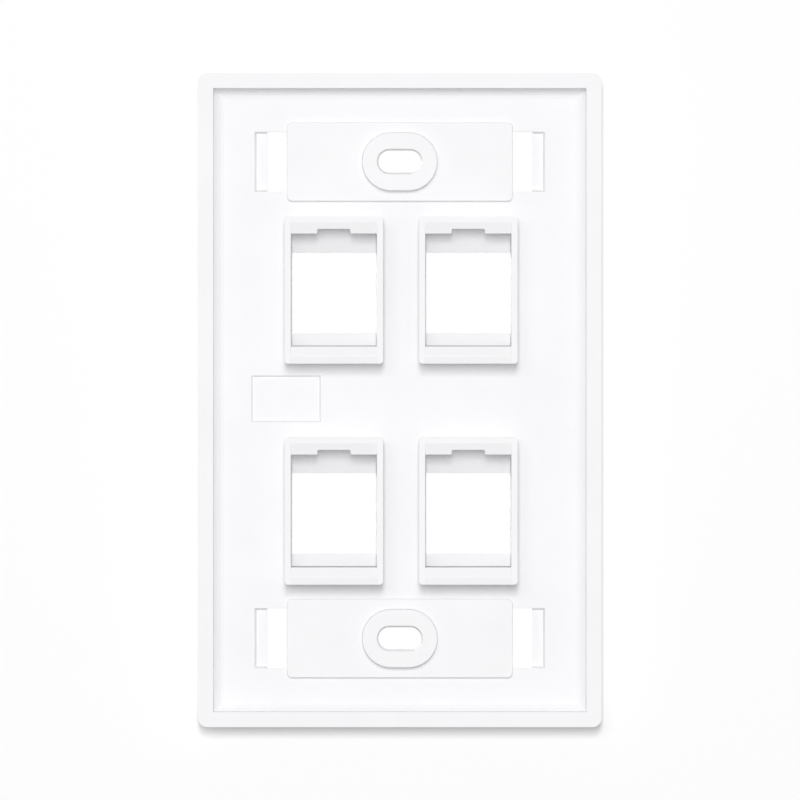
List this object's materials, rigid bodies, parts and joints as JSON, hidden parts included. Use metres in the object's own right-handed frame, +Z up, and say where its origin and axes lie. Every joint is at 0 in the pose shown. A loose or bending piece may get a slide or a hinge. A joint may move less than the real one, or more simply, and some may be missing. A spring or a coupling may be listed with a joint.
{
  "type": "keystone faceplate",
  "caption": "Single-gang wall plate for keystone jacks, with label recesses, countersunk screw slots and open port housings moulded on its back.",
  "frame": {"origin": "middle of the plate in the plane of the rear rim, where it meets the wall", "axes": "+Z up the plate as it hangs, +Y into the wall, so that the finished front faces -Y"},
  "size_m": [0.0706, 0.0094, 0.1142],
  "materials": {
    "plastic": "satin"
  },
  "bodies": {
    "root": {"faceplate": "plastic"}
  },
  "joints": []
}
